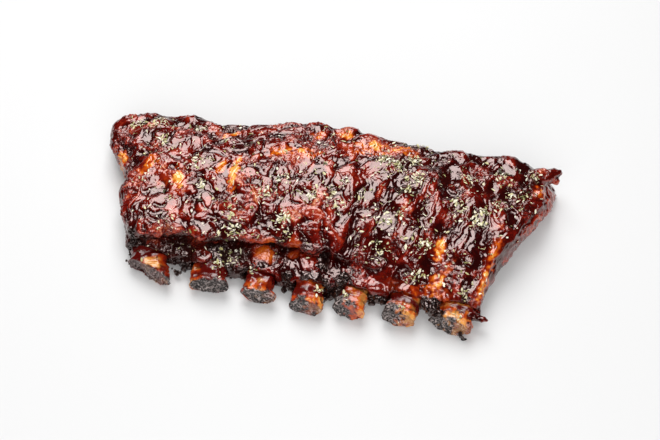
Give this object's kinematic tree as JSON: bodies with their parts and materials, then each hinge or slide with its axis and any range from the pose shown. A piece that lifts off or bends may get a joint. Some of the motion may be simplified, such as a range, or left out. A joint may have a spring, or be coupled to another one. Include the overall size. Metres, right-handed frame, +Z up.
{
  "type": "rack of ribs",
  "caption": "Half rack of barbecued back ribs: a fanned slab of glazed meat with a lifted front flap, run through by rib bones that show sawn, charred tips along the front.",
  "frame": {"origin": "middle of the bounding box, on the surface the rack lies on", "axes": "+X along the row of ribs, from the lifted flap to the pointed corner; +Y along the ribs, away from the sawn tips; +Z up"},
  "size_m": [0.2424, 0.1104, 0.0329],
  "materials": {
    "glazed_meat": "sticky dark red barbecue glaze over browned meat",
    "charred_bone": "orange-brown roasted bone, charred grey-black on the sawn end"
  },
  "bodies": {
    "root": {"meat": "glazed_meat", "rib_1": "charred_bone", "rib_2": "charred_bone", "rib_3": "charred_bone", "rib_4": "charred_bone", "rib_5": "charred_bone", "rib_6": "charred_bone", "rib_7": "charred_bone"}
  },
  "joints": []
}
